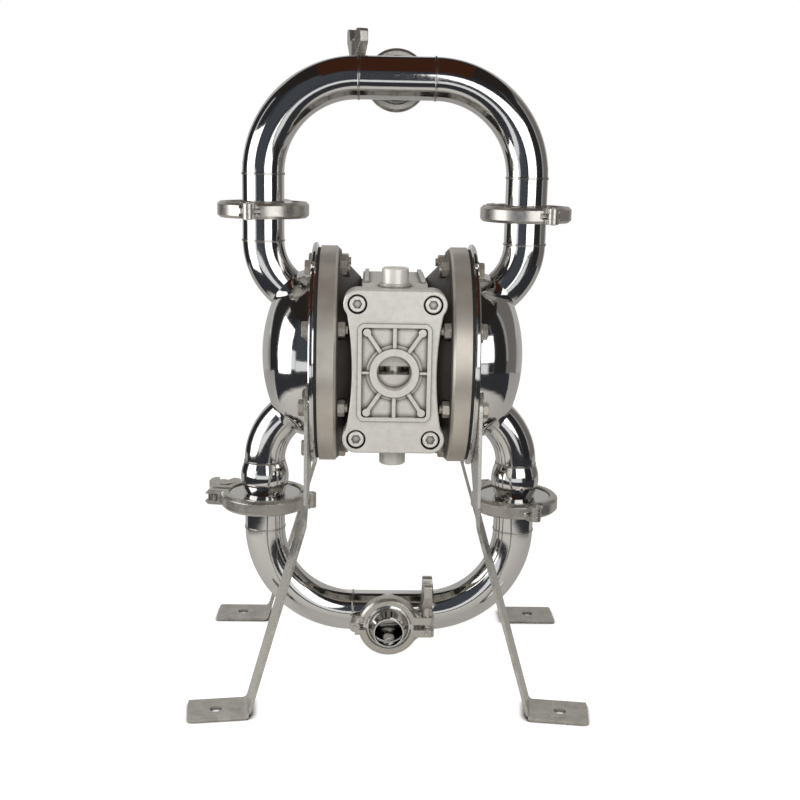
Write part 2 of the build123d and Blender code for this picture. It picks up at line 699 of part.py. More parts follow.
# ---- air motor --------------------------------------------------------------------------------
def cover_outline():
    """Waisted outline of the cover: four round lobes and two hollow sides."""
    face = Rectangle(2 * screw_dx, 2 * (screw_dz + lobe_r))
    sides = Rectangle(2 * (screw_dx + lobe_r), 2 * screw_dz)
    for sx in (-1, 1):
        sides -= Pos(sx * (waist_x + waist_arc_r), 0) * Circle(waist_arc_r)
    face += sides
    for sx in (-1, 1):
        for sz in (-1, 1):
            face += Pos(sx * screw_dx, sz * screw_dz) * Circle(lobe_r)
    hollows = [v for v in face.vertices() if abs(v.X) > screw_dx + 1]
    return fillet(hollows, lobe_blend_r)


def cover_plate(y_from, y_to, shrink=0.0):
    """The outline as a slab between two stations along Y."""
    face = cover_outline() if shrink == 0 else offset(cover_outline(), -shrink)
    slab = extrude(face, abs(y_to - y_from))
    return Pos(0, max(y_from, y_to), shaft_z) * (Rot(90, 0, 0) * slab)


def at_screws(solid):
    """Copies of a solid at the four cover screws."""
    return [Pos(sx * screw_dx, 0, shaft_z + sz * screw_dz) * solid
            for sx in (-1, 1) for sz in (-1, 1)]


def front_slab(face, y_from, depth):
    """Extrude a sketch (x, z) from a front station backwards by depth."""
    slab = extrude(face, depth)
    return Pos(0, y_from + depth, shaft_z) * (Rot(90, 0, 0) * slab)


def exhaust_cover():
    """Cast cover: raised border, ribbed pocket, exhaust boss, screw recesses."""
    body = cover_plate(cover_face_y, gasket_y)
    front = body.faces().sort_by(Axis.Y)[0]
    body = chamfer(front.edges(), 1.2)
    outer = RectangleRounded(pocket_w, pocket_h, 8.0)
    inner = RectangleRounded(pocket_w - 2 * border_w, pocket_h - 2 * border_w, 4.0)
    proud_y = cover_face_y - border_proud
    body += front_slab(outer, proud_y, border_proud + 1)
    floor_y = cover_face_y + pocket_depth
    body -= front_slab(inner, proud_y, floor_y - proud_y)
    ribs = Rectangle(rib_w, pocket_h - border_w) + Rectangle(pocket_w - border_w, rib_w * 0.7)
    for sx in (-1, 1):
        ribs += Rot(0, 0, sx * 55.9) * Rectangle(2 * sqrt(boss_w ** 2 + boss_h ** 2), rib_w)
        for sz in (-1, 1):
            ribs += Pos(sx * boss_w, sz * boss_h) * Circle(boss_d / 2)
    body += front_slab(ribs & outer, proud_y + 0.5, floor_y - proud_y)
    body += front_slab(Circle(port_step_d / 2), cover_face_y + 1.5, pocket_depth)
    body += front_slab(Circle(port_boss_d / 2), proud_y - 1.0, pocket_depth + 3)
    body -= front_slab(Circle(exhaust_d / 2), proud_y - 2.0, exhaust_depth + 2)
    slot = Rectangle(slot_w, slot_h)
    body -= front_slab(slot, cover_face_y, cover_thick + 1)
    body -= at_screws(disc_y(screw_recess_d / 2, cover_face_y - 1, cover_face_y + screw_head_h + 0.5))
    body -= at_screws(disc_y(screw_d / 2 + 0.5, cover_face_y, gasket_y + 1))
    return body


def cover_gasket():
    """Sheet gasket behind the cover."""
    sheet = cover_plate(gasket_y, valve_plate_y, 0.5)
    sheet -= front_slab(Rectangle(slot_w, slot_h), gasket_y - 1, 4)
    return sheet - at_screws(disc_y(screw_d / 2 + 0.5, gasket_y - 1, valve_plate_y + 1))


def screw_set():
    """Four socket-head screws that hold the cover and the valve body."""
    head_end = cover_face_y + screw_head_h
    head = disc_y(screw_head_d / 2, cover_face_y, head_end)
    head = chamfer(head.edges().sort_by(Axis.Y)[0], 0.8)
    socket = Pos(0, cover_face_y + 6, 0) * (Rot(90, 0, 0) * hexagon(screw_hex_af, 8))
    shank = disc_y(screw_d / 2, head_end, block_front_y + screw_grip)
    return at_screws(head - socket + shank)


def valve_barrel(radius, reach):
    """Upright cylinder at the spool's axis, both ways from the shaft's height."""
    return Pos(0, valve_axis_y, shaft_z) * Cylinder(radius, 2 * reach)


def clear_of_dishes(body):
    """Cut a casting back from the two dishes."""
    cutter = Pos(0, 0, shaft_z) * dish_envelope(block_clear)
    return body - cutter - mirror(cutter, about=Plane.YZ)


def valve_body():
    """Valve plate with the upright spool barrel across its back."""
    body = clear_of_dishes(cover_plate(valve_plate_y, block_front_y))
    body += valve_barrel(valve_barrel_r, barrel_end_z)
    body -= valve_barrel(spool_bore_r, barrel_end_z + 1)
    body -= front_slab(Rectangle(slot_w, slot_h), valve_plate_y - 1, valve_axis_y - valve_plate_y + 1)
    body -= Pos(0, -50 + valve_plate_y, shaft_z) * Box(200, 100, 300)
    return body - at_screws(disc_y(screw_d / 2 + 0.5, valve_plate_y - 1, block_front_y + 1))


def valve_cap(sz):
    """End cap of the spool barrel, with a hexagonal socket."""
    collar = disc_z(cap_d / 2, barrel_end_z, barrel_end_z + cap_height)
    collar = chamfer(collar.edges().sort_by(Axis.Z)[-1], 1.2)
    cap = collar + disc_z(spool_bore_r - thread_fit, barrel_end_z - cap_spigot, barrel_end_z)
    socket_z = barrel_end_z + cap_height - cap_hex_depth
    cap -= Pos(0, 0, socket_z) * hexagon(cap_hex_af, cap_hex_depth + 1)
    cap = cap if sz > 0 else mirror(cap, about=Plane.XY)
    return Pos(0, valve_axis_y, shaft_z) * cap


def spool():
    """Three-land valve spool, resting on the lower cap."""
    low = -(barrel_end_z - cap_spigot) + ball_gap
    land_r = spool_bore_r - thread_fit
    land = spool_length / 5
    rod = disc_z(spool_neck_r, low, low + spool_length)
    for k in (0, 2, 4):
        rod += disc_z(land_r, low + k * land, low + (k + 1) * land)
    return Pos(0, valve_axis_y, shaft_z) * rod


def center_block():
    """Cast air motor block between the two dishes."""
    depth = block_rear_y - block_front_y
    middle = Pos(0, (block_rear_y + block_front_y) / 2, 0)
    core = middle * Box(2 * block_half_x, depth, 2 * block_half_z)
    core = fillet(core.edges().filter_by(Axis.X), block_corner_r)
    core += disc_x(block_drum_r, -dish_x, dish_x)
    spigot_x = dish_x + dish_floor - 2
    core += disc_x(dish_hole_r - thread_fit, -spigot_x, spigot_x)
    core += disc_y(air_boss_d / 2, 0, air_port_y)
    rib = middle * Box(block_rib_w, depth - 2 * block_rib_margin,
                       2 * (block_half_z + block_rib_proud))
    for x in (block_rib_w - block_half_x, 0, block_half_x - block_rib_w):
        core += Pos(x, 0, 0) * rib
    core = Pos(0, 0, shaft_z) * core
    lugs = at_screws(disc_y(lug_r, block_front_y, block_front_y + screw_grip + 5))
    core += [clear_of_dishes(lug) for lug in lugs]
    core -= Pos(0, 0, shaft_z) * disc_x(shaft_d / 2 + 2, -100, 100)
    bush_in = dish_x + dish_floor - 4.0 - bush_length
    for side in (-1, 1):
        core -= Pos(0, 0, shaft_z) * disc_x(bush_od / 2 + 0.02, side * bush_in, side * 60)
    core -= valve_barrel(valve_barrel_r + 0.3, barrel_end_z + 20)
    port = disc_y(air_port_d / 2, air_port_y - air_port_depth, air_port_y + 1)
    core -= Pos(0, 0, shaft_z) * port
    core -= at_screws(disc_y(screw_d / 2 + 0.02, block_front_y - 1, block_front_y + screw_grip + 1))
    return core


# ---- legs ---------------------------------------------------------------------------------------
def leg(toe):
    """Right rear leg: strap bolted on the flange, bent out and down to its foot.

    Below the upper bend the strap is turned outward by toe degrees.
    """
    top_x = flange_outer_x
    middle_x = top_x + strap_thick / 2
    arm, low = [(bolt_circle_r * sin(radians(a)), shaft_z + bolt_circle_r * cos(radians(a)))
                for a in (bolt_angles[2], bolt_angles[3])]
    half = strap_w / 2
    fold = bend_inner_r + strap_thick
    bend_y = arm[0] + (arm[1] - bend_z) * (foot_start_y - arm[0]) / arm[1]
    to_local = Rot(0, 0, -toe) * Pos(-middle_x, -bend_y, 0)
    hole = (to_local * Pos(foot_hole_x, foot_hole_y, 0)).position
    slant = (hole.Y + foot_start_y - foot_hole_y) / bend_z
    drop = bend_z - strap_thick / 2
    run = foot_start_x - middle_x
    over = strap_w / drop

    def side_outline(z_top, z_end):
        return Polygon((-half - (z_end - bend_z) * slant, z_end), (half - (z_end - bend_z) * slant, z_end),
                       (half - (z_top - bend_z) * slant, z_top), (-half - (z_top - bend_z) * slant, z_top),
                       align=None)

    neck_z = bend_z + strap_neck
    neck = Pos(bend_y - strap_neck * slant, neck_z) * Rectangle(strap_w, strap_thick)
    face = make_hull((Pos(*arm) * Circle(half) + Pos(*low) * Circle(strap_tail_r) + neck).edges())
    face += Pos(bend_y, 0) * side_outline(neck_z, bend_z - half)
    upper = Pos(top_x, 0, 0) * extrude(Plane.YZ * face, strap_thick)

    start = (-over * run, 0, bend_z + over * drop)
    path = FilletPolyline(start, (run, 0, strap_thick / 2),
                          (foot_end_x - middle_x, 0, strap_thick / 2), radius=fold)
    section = Plane(start, x_dir=(0, 1, 0), z_dir=(run, 0, -drop))
    sheet = sweep(section * Rectangle(2 * foot_hole_y, strap_thick), path=path)
    side_view = extrude(Plane.YZ * side_outline(bend_z + half, 0), 2 * run, both=True)
    foot_face = Pos(foot_end_x - middle_x - run, hole.Y) * RectangleRounded(
        2 * run, strap_w + 2 * foot_side, fold / 2)
    foot_face &= Pos(2 * run, 0) * Rectangle(2 * run, 2 * foot_hole_y)
    lower = (sheet & side_view) + (sheet & extrude(foot_face, 2 * fold))
    lower = Pos(middle_x, bend_y, 0) * (Rot(0, 0, toe) * lower)

    outward = Rot(0, 0, toe) * Pos(drop, 0, run)
    normal = outward.position.normalized()
    corner = Vector(middle_x, bend_y, bend_z)
    mitre = Plane(corner, z_dir=normal - Vector(1, 0, 0))
    strap = split(upper, bisect_by=mitre, keep=Keep.TOP) + split(lower, bisect_by=mitre, keep=Keep.BOTTOM)
    strap -= Pos(0, 0, shaft_z) * disc_x(dome_side_r + 3, top_x, column_x)
    for y, z in (arm, low):
        strap -= Pos(0, y, z) * disc_x(bolt_hole_d / 2, top_x - 1, top_x + strap_thick + 1)
    return strap - Pos(foot_hole_x, foot_hole_y, 0) * Cylinder(foot_hole_d / 2, 2 * fold)


def save_legs():
    """Four straps; only the front feet are turned out."""
    rear = leg(0.0)
    front = mirror(leg(foot_toe), about=Plane.XZ)
    two_sides("leg_rear", rear)
    two_sides("leg_front", front)


# ---- build every node ---------------------------------------------------------------------------
face = gasket_thick / 2
two_sides("outer_chamber", outer_chamber())
two_sides("air_chamber", air_chamber())
two_sides("diaphragm", diaphragm())
two_sides("inner_plate", inner_plate())
two_sides("outer_plate", outer_plate())
save("diaphragm_shaft", [diaphragm_shaft()])
save("shaft_bushes", [shaft_bush(-1), shaft_bush(1)])
right_bolts = chamber_bolt_set()
save("chamber_bolts_right", right_bolts)
save("chamber_bolts_left", [mirror(piece, about=Plane.YZ) for piece in right_bolts])
top = manifold(top_run_z, upper_joint_z + face, 1)
stop_z = upper_joint_z + stop_height()
top += [Pos(sx * column_x, 0, 0) * cage_rods(stop_z) for sx in (-1, 1)]
save("top_manifold", [top])
save("bottom_manifold", [manifold(bottom_run_z, lower_joint_z - face, -1)])
for sx, hand in ((-1, "left"), (1, "right")):
    for joint_z, level in ((lower_joint_z, "lower"), (upper_joint_z, "upper")):
        save(f"valve_seat_{level}_{hand}", [valve_seat(sx, joint_z)])
        save(f"ball_{level}_{hand}", [check_ball(sx, joint_z)])
save("inlet_nozzle", [Pos(0, 0, bottom_run_z) * nozzle(-1)])
save("outlet_nozzle", [Pos(0, 0, top_run_z) * nozzle(1)])
save("inlet_gasket", [Pos(0, 0, bottom_run_z) * port_gasket(-1)])
save("outlet_gasket", [Pos(0, 0, top_run_z) * port_gasket(1)])
save("exhaust_cover", [exhaust_cover()])
save("cover_gasket", [cover_gasket()])
save("cover_screws", screw_set())
save("valve_body", [valve_body()])
save("valve_caps", [valve_cap(1), valve_cap(-1)])
save("valve_spool", [spool()])
save("center_block", [center_block()])
save_legs()

# Each clamp's turn about its tube puts the ears where a hand can reach the nut.
# The first angle turns the wings about the bolt, as they were left when tightened.
place_clamp("upper_left", column_ferrule_r, 90,
            Pos(-column_x, 0, upper_joint_z) * Rot(0, 0, 78))
place_clamp("upper_right", column_ferrule_r, 50,
            Pos(column_x, 0, upper_joint_z) * (Rot(0, 0, 115) * Rot(180, 0, 0)))
place_clamp("lower_left", column_ferrule_r, 90,
            Pos(-column_x, 0, lower_joint_z) * (Rot(0, 0, 172) * Rot(180, 0, 0)))
place_clamp("lower_right", column_ferrule_r, 0,
            Pos(column_x, 0, lower_joint_z) * (Rot(0, 0, 110) * Rot(180, 0, 0)))
place_clamp("inlet", port_ferrule_r, 0, Pos(0, -branch_reach, bottom_run_z) * Rot(90, 0, 0))
place_clamp("outlet", port_ferrule_r, 25,
            Pos(0, branch_reach, top_run_z) * (Rot(0, 0, 180) * Rot(90, 0, 0)))
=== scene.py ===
import math

import bpy
from mathutils import Matrix, Vector


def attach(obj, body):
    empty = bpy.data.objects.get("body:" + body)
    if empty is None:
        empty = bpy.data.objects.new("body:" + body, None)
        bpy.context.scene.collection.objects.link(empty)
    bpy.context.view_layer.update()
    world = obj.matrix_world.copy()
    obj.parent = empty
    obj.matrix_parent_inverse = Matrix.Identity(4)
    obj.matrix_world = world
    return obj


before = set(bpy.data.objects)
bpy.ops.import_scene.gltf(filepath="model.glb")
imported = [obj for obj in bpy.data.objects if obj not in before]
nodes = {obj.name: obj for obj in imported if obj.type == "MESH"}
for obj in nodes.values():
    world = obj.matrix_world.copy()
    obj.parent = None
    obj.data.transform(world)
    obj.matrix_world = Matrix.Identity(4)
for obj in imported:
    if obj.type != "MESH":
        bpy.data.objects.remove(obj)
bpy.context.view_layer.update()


# ---- legs --------------------------------------------------------------------
# Four straps of 46 x 4 mm stainless flat bar, laser cut, bent out and down, and
# bolted on the chamber flanges. Mill satin finish with handling scuffs.
def linear(hex_colour):
    """sRGB hex to the linear values that the shaders want."""
    channels = [int(hex_colour[i:i + 2], 16) / 255 for i in (1, 3, 5)]
    return [c / 12.92 if c < 0.04045 else ((c + 0.055) / 1.055) ** 2.4 for c in channels] + [1.0]


def add(tree, kind, settings=None, links=None):
    """Add one node; links gives its inputs by name or number, as values or sockets."""
    made = tree.nodes.new(kind)
    for name, value in (settings or {}).items():
        setattr(made, name, value)
    for name, value in (links or {}).items():
        if isinstance(value, bpy.types.NodeSocket):
            tree.links.new(value, made.inputs[name])
        else:
            made.inputs[name].default_value = value
    return made


def finish_named(name):
    """An empty node material and its tree."""
    material = bpy.data.materials.new(name)
    material.use_nodes = True
    material.node_tree.nodes.clear()
    return material, material.node_tree


def dress(material, *names):
    """Give pieces of the frame their finish."""
    for name in names:
        for holder in nodes[name].material_slots:
            holder.material = material


# Satin 304 bar: soft streaky reflections along the strap, duller where it was rubbed.
strap_steel, tree = finish_named("satin_stainless_bar")
place = add(tree, "ShaderNodeTexCoord")
along = add(tree, "ShaderNodeMapping", None, {
    "Vector": place.outputs["Object"], "Scale": (1, 1, 0.04)})
streaks = add(tree, "ShaderNodeTexNoise", None, {
    "Vector": along.outputs[0], "Scale": 1 / 0.0016, "Detail": 3.0})
rubs = add(tree, "ShaderNodeTexNoise", None, {
    "Vector": place.outputs["Object"], "Scale": 1 / 0.018, "Detail": 6.0, "Roughness": 0.62})
dull = add(tree, "ShaderNodeMapRange", None, {
    "Value": rubs.outputs["Fac"], "From Min": 0.35, "From Max": 0.70, "To Min": 0.20, "To Max": 0.36})
tone = add(tree, "ShaderNodeMix", {"data_type": "RGBA"}, {
    "Factor": rubs.outputs["Fac"], "A": linear("#86827b"), "B": linear("#e6e3dc")})
round_edge = add(tree, "ShaderNodeBevel", {"samples": 4}, {"Radius": 0.0007})
relief = add(tree, "ShaderNodeBump", None, {
    "Strength": 0.10, "Distance": 0.0002, "Height": streaks.outputs["Fac"],
    "Normal": round_edge.outputs[0]})
steel = add(tree, "ShaderNodeBsdfPrincipled", None, {
    "Base Color": tone.outputs["Result"], "Metallic": 0.75, "Roughness": dull.outputs[0],
    "Normal": relief.outputs[0]})
add(tree, "ShaderNodeOutputMaterial", None, {"Surface": steel.outputs[0]})
dress(strap_steel, "leg_front_left", "leg_front_right", "leg_rear_left", "leg_rear_right")


# ---- air motor: block and valve body -------------------------------------------
# Gravity-cast aluminium, bead blasted. It sits between the two dishes, and the
# valve body stands across its front with the spool inside.
cast_alloy, tree = finish_named("bead_blasted_cast_aluminium")
place = add(tree, "ShaderNodeTexCoord")
# Blast marks are about 0.15 mm; they are drawn at 0.8 mm so that they show.
blast = add(tree, "ShaderNodeTexNoise", None, {
    "Vector": place.outputs["Object"], "Scale": 1 / 0.0008, "Detail": 2.0})
cast_skin = add(tree, "ShaderNodeTexNoise", None, {
    "Vector": place.outputs["Object"], "Scale": 1 / 0.006, "Detail": 4.0})
blend = add(tree, "ShaderNodeMix", {"data_type": "RGBA"}, {
    "Factor": cast_skin.outputs["Fac"], "A": linear("#ccc8c0"), "B": linear("#e6e3dc")})
dull = add(tree, "ShaderNodeMapRange", None, {
    "Value": blast.outputs["Fac"], "From Min": 0.3, "From Max": 0.7, "To Min": 0.36, "To Max": 0.50})
height = add(tree, "ShaderNodeMath", {"operation": "MULTIPLY_ADD"}, {
    0: cast_skin.outputs["Fac"], 1: 0.6, 2: blast.outputs["Fac"]})
# Painted shade: the colour darkens towards #57514a in creases and recesses, where shade falls.
crease = add(tree, "ShaderNodeAmbientOcclusion", {"samples": 6}, {"Distance": 0.006})
crease_painted_shade = add(tree, "ShaderNodeMapRange", None, {
    "Value": crease.outputs["AO"], "From Min": 0.45, "From Max": 0.95})
shade = add(tree, "ShaderNodeMix", {"data_type": "RGBA"}, {
    "Factor": crease_painted_shade.outputs[0], "A": linear("#57514a"), "B": blend.outputs["Result"]})
round_edge = add(tree, "ShaderNodeBevel", {"samples": 4}, {"Radius": 0.0012})
relief = add(tree, "ShaderNodeBump", None, {
    "Strength": 0.35, "Distance": 0.0003, "Height": height.outputs[0], "Normal": round_edge.outputs[0]})
alloy = add(tree, "ShaderNodeBsdfPrincipled", None, {
    "Base Color": shade.outputs["Result"], "Metallic": 0.55, "Roughness": dull.outputs[0],
    "Normal": relief.outputs[0]})
add(tree, "ShaderNodeOutputMaterial", None, {"Surface": alloy.outputs[0]})
dress(cast_alloy, "center_block", "valve_body", "exhaust_cover")


# ---- air motor: small parts --------------------------------------------------------
# Ground spool and shaft, turned inner plates and swing bolts: bright machined
# steel with fine turning marks.
turned_steel, tree = finish_named("bright_turned_steel")
place = add(tree, "ShaderNodeTexCoord")
marks = add(tree, "ShaderNodeTexNoise", None, {
    "Vector": place.outputs["Object"], "Scale": 1 / 0.0012, "Detail": 3.0})
dull = add(tree, "ShaderNodeMapRange", None, {
    "Value": marks.outputs["Fac"], "From Min": 0.3, "From Max": 0.7, "To Min": 0.16, "To Max": 0.30})
round_edge = add(tree, "ShaderNodeBevel", {"samples": 4}, {"Radius": 0.0004})
relief = add(tree, "ShaderNodeBump", None, {
    "Strength": 0.08, "Distance": 0.0002, "Height": marks.outputs["Fac"],
    "Normal": round_edge.outputs[0]})
steel = add(tree, "ShaderNodeBsdfPrincipled", None, {
    "Base Color": linear("#d3d0c9"), "Metallic": 1.0, "Roughness": dull.outputs[0],
    "Normal": relief.outputs[0]})
add(tree, "ShaderNodeOutputMaterial", None, {"Surface": steel.outputs[0]})
dress(turned_steel, "valve_spool", "diaphragm_shaft", "inner_plate_left", "inner_plate_right")

# Socket screws of the cover and the valve's end caps: bright zinc plate, faintly
# hazed, with painted shade darkening the sockets.
zinc_plate, tree = finish_named("bright_zinc_plate")
place = add(tree, "ShaderNodeTexCoord")
haze = add(tree, "ShaderNodeTexNoise", None, {
    "Vector": place.outputs["Object"], "Scale": 1 / 0.0015, "Detail": 3.0})
tone = add(tree, "ShaderNodeMix", {"data_type": "RGBA"}, {
    "Factor": haze.outputs["Fac"], "A": linear("#cfcbc3"), "B": linear("#e9e6e0")})
# Painted shade: the plate darkens towards #332f2b inside the sockets and recesses, where shade falls.
crease = add(tree, "ShaderNodeAmbientOcclusion", {"samples": 4, "only_local": True}, {
    "Distance": 0.006})
socket_painted_shade = add(tree, "ShaderNodeMapRange", None, {
    "Value": crease.outputs["AO"], "From Min": 0.35, "From Max": 0.8})
shade = add(tree, "ShaderNodeMix", {"data_type": "RGBA"}, {
    "Factor": socket_painted_shade.outputs[0], "A": linear("#332f2b"), "B": tone.outputs["Result"]})
round_edge = add(tree, "ShaderNodeBevel", {"samples": 4}, {"Radius": 0.0008})
plate = add(tree, "ShaderNodeBsdfPrincipled", None, {
    "Base Color": shade.outputs["Result"], "Metallic": 0.45, "Roughness": 0.33,
    "Normal": round_edge.outputs[0]})
add(tree, "ShaderNodeOutputMaterial", None, {"Surface": plate.outputs[0]})
dress(zinc_plate, "cover_screws", "valve_caps")

# Cover gasket: 1.5 mm compressed fibre sheet, dull and slightly mottled.
fibre, tree = finish_named("compressed_fibre_sheet")
place = add(tree, "ShaderNodeTexCoord")
mottle = add(tree, "ShaderNodeTexNoise", None, {
    "Vector": place.outputs["Object"], "Scale": 1 / 0.002, "Detail": 4.0})
tone = add(tree, "ShaderNodeMix", {"data_type": "RGBA"}, {
    "Factor": mottle.outputs["Fac"], "A": linear("#35322e"), "B": linear("#4c4843")})
sheet_skin = add(tree, "ShaderNodeBsdfPrincipled", None, {
    "Base Color": tone.outputs["Result"], "Roughness": 0.8})
add(tree, "ShaderNodeOutputMaterial", None, {"Surface": sheet_skin.outputs[0]})
dress(fibre, "cover_gasket")

# Shaft bushes: sintered bronze, warm and slightly porous.
bronze, tree = finish_named("sintered_bronze")
place = add(tree, "ShaderNodeTexCoord")
pores = add(tree, "ShaderNodeTexNoise", None, {
    "Vector": place.outputs["Object"], "Scale": 1 / 0.0008, "Detail": 3.0})
dull = add(tree, "ShaderNodeMapRange", None, {
    "Value": pores.outputs["Fac"], "To Min": 0.3, "To Max": 0.5})
metal = add(tree, "ShaderNodeBsdfPrincipled", None, {
    "Base Color": linear("#a97c4a"), "Metallic": 1.0, "Roughness": dull.outputs[0]})
add(tree, "ShaderNodeOutputMaterial", None, {"Surface": metal.outputs[0]})
dress(bronze, "shaft_bushes")


# ---- air chambers --------------------------------------------------------------------
# Cast rings with their conical dishes, bolted between block and flange. The rim is
# machined bright and stays bare: a broad soft shine. The dish inside it is coloured
# near black as painted shade, for the shadow it lies in behind the valve body.
shaft_z = 0.411
rim_r = 0.130            # the painted shade ends here, just inside the rim's corner
painted_shade_edge = 0.0015
shade_painted_dish_casting, tree = finish_named("bare_rim_on_shade_painted_casting")
place = add(tree, "ShaderNodeTexCoord")
grain = add(tree, "ShaderNodeTexNoise", None, {
    "Vector": place.outputs["Object"], "Scale": 1 / 0.0016, "Detail": 4.0})
cloud = add(tree, "ShaderNodeTexNoise", None, {
    "Vector": place.outputs["Object"], "Scale": 1 / 0.030, "Detail": 5.0})
rim_tone = add(tree, "ShaderNodeMix", {"data_type": "RGBA"}, {
    "Factor": cloud.outputs["Fac"], "A": linear("#bcb4a9"), "B": linear("#e8e2d8")})
# Painted shade: the dish is coloured near black (#2a2725 to #45413d) to stand in for its shadow.
dish_painted_shade_tone = add(tree, "ShaderNodeMix", {"data_type": "RGBA"}, {
    "Factor": cloud.outputs["Fac"], "A": linear("#2a2725"), "B": linear("#45413d")})
about_shaft = add(tree, "ShaderNodeVectorMath", {"operation": "SUBTRACT"}, {
    0: place.outputs["Object"], 1: (0.0, 0.0, shaft_z)})
across = add(tree, "ShaderNodeVectorMath", {"operation": "MULTIPLY"}, {
    0: about_shaft.outputs[0], 1: (0.0, 1.0, 1.0)})
radius = add(tree, "ShaderNodeVectorMath", {"operation": "LENGTH"}, {0: across.outputs[0]})
on_rim = add(tree, "ShaderNodeMapRange", None, {
    "Value": radius.outputs["Value"], "From Min": rim_r, "From Max": rim_r + painted_shade_edge})
tone = add(tree, "ShaderNodeMix", {"data_type": "RGBA"}, {
    "Factor": on_rim.outputs[0], "A": dish_painted_shade_tone.outputs["Result"], "B": rim_tone.outputs["Result"]})
bare = add(tree, "ShaderNodeMapRange", None, {
    "Value": on_rim.outputs[0], "To Min": 0.1, "To Max": 0.8})
dull = add(tree, "ShaderNodeMapRange", None, {
    "Value": grain.outputs["Fac"], "From Min": 0.3, "From Max": 0.7, "To Min": 0.32, "To Max": 0.46})
round_edge = add(tree, "ShaderNodeBevel", {"samples": 4}, {"Radius": 0.0010})
relief = add(tree, "ShaderNodeBump", None, {
    "Strength": 0.25, "Distance": 0.0003, "Height": grain.outputs["Fac"],
    "Normal": round_edge.outputs[0]})
skin = add(tree, "ShaderNodeBsdfPrincipled", None, {
    "Base Color": tone.outputs["Result"], "Metallic": bare.outputs[0], "Roughness": dull.outputs[0],
    "Normal": relief.outputs[0]})
add(tree, "ShaderNodeOutputMaterial", None, {"Surface": skin.outputs[0]})
dress(shade_painted_dish_casting, "air_chamber_left", "air_chamber_right")


# ---- diaphragms ------------------------------------------------------------------------
# Fabric-reinforced black rubber, clamped between ring and flange; only its edge
# shows on the outside.
black_rubber, tree = finish_named("moulded_black_rubber")
place = add(tree, "ShaderNodeTexCoord")
bloom = add(tree, "ShaderNodeTexNoise", None, {
    "Vector": place.outputs["Object"], "Scale": 1 / 0.004, "Detail": 4.0})
tone = add(tree, "ShaderNodeMix", {"data_type": "RGBA"}, {
    "Factor": bloom.outputs["Fac"], "A": linear("#1f1e1d"), "B": linear("#34322f")})
rubber_skin = add(tree, "ShaderNodeBsdfPrincipled", None, {
    "Base Color": tone.outputs["Result"], "Roughness": 0.62})
add(tree, "ShaderNodeOutputMaterial", None, {"Surface": rubber_skin.outputs[0]})
dress(black_rubber, "diaphragm_left", "diaphragm_right")


# ---- polished fluid path -------------------------------------------------------------------
# Spun domes, drawn elbows, bent tube and turned ferrules in 316L, welded, ground
# flush and buffed to a mirror: sharp reflections, a faint waviness from buffing.
mirror_steel, tree = finish_named("mirror_polished_stainless")
place = add(tree, "ShaderNodeTexCoord")
buffing = add(tree, "ShaderNodeTexNoise", None, {
    "Vector": place.outputs["Object"], "Scale": 1 / 0.018, "Detail": 2.0})
haze = add(tree, "ShaderNodeTexNoise", None, {
    "Vector": place.outputs["Object"], "Scale": 1 / 0.0022, "Detail": 5.0, "Roughness": 0.7})
dull = add(tree, "ShaderNodeMapRange", None, {
    "Value": haze.outputs["Fac"], "From Min": 0.35, "From Max": 0.75, "To Min": 0.055, "To Max": 0.13})
round_edge = add(tree, "ShaderNodeBevel", {"samples": 4}, {"Radius": 0.0005})
relief = add(tree, "ShaderNodeBump", None, {
    "Strength": 0.10, "Distance": 0.0006, "Height": buffing.outputs["Fac"],
    "Normal": round_edge.outputs[0]})
steel = add(tree, "ShaderNodeBsdfPrincipled", None, {
    "Base Color": linear("#dddcda"), "Metallic": 1.0, "Roughness": dull.outputs[0],
    "Normal": relief.outputs[0]})
add(tree, "ShaderNodeOutputMaterial", None, {"Surface": steel.outputs[0]})
dress(mirror_steel, "outer_chamber_left", "outer_chamber_right", "outer_plate_left", "outer_plate_right",
      "top_manifold", "bottom_manifold", "inlet_nozzle", "outlet_nozzle")


# ---- weld beads --------------------------------------------------------------------------------
# Twelve orbital welds where tube meets bend and dome elbow, one ripple each 1.2 mm.
# They are left as welded and only brushed, so they show as a dull line on the mirror.
tube_r = 0.0254
column_x = 0.160         # the upright tubes, either side
bend_end_x = 0.0457      # where the level runs meet their bends
upright_welds = (0.6297, 0.550, 0.272, 0.1843)
level_welds = (0.744, 0.070)
weld_sizes = {"Tube radius": tube_r, "Half width": 0.0015, "Proud": 0.0009,
              "Ripples": round(2 * math.pi * tube_r / 0.0012)}
weld_places = [((side * column_x, 0, z), (0, 0, 0)) for z in upright_welds for side in (-1, 1)]
weld_places += [((side * bend_end_x, 0, z), (0, math.pi / 2, 0)) for z in level_welds for side in (-1, 1)]
weld_points = bpy.data.meshes.new("weld_points")
weld_points.from_pydata([at for at, _ in weld_places], [], [])
turn = weld_points.attributes.new("turn", "FLOAT_VECTOR", "POINT")
turn.data.foreach_set("vector", [angle for _, turned in weld_places for angle in turned])
welds = bpy.data.objects.new("weld_beads", weld_points)
bpy.context.collection.objects.link(welds)

# Brushed weld metal: uneven straw grey, without the mirror.
brushed_weld, tree = finish_named("brushed_weld_bead")
place = add(tree, "ShaderNodeTexCoord")
heat = add(tree, "ShaderNodeTexNoise", None, {
    "Vector": place.outputs["Object"], "Scale": 1 / 0.004, "Detail": 3.0})
tone = add(tree, "ShaderNodeMix", {"data_type": "RGBA"}, {
    "Factor": heat.outputs["Fac"], "A": linear("#8a8278"), "B": linear("#c2bcb2")})
bead = add(tree, "ShaderNodeBsdfPrincipled", None, {
    "Base Color": tone.outputs["Result"], "Metallic": 1.0, "Roughness": 0.32})
add(tree, "ShaderNodeOutputMaterial", None, {"Surface": bead.outputs[0]})

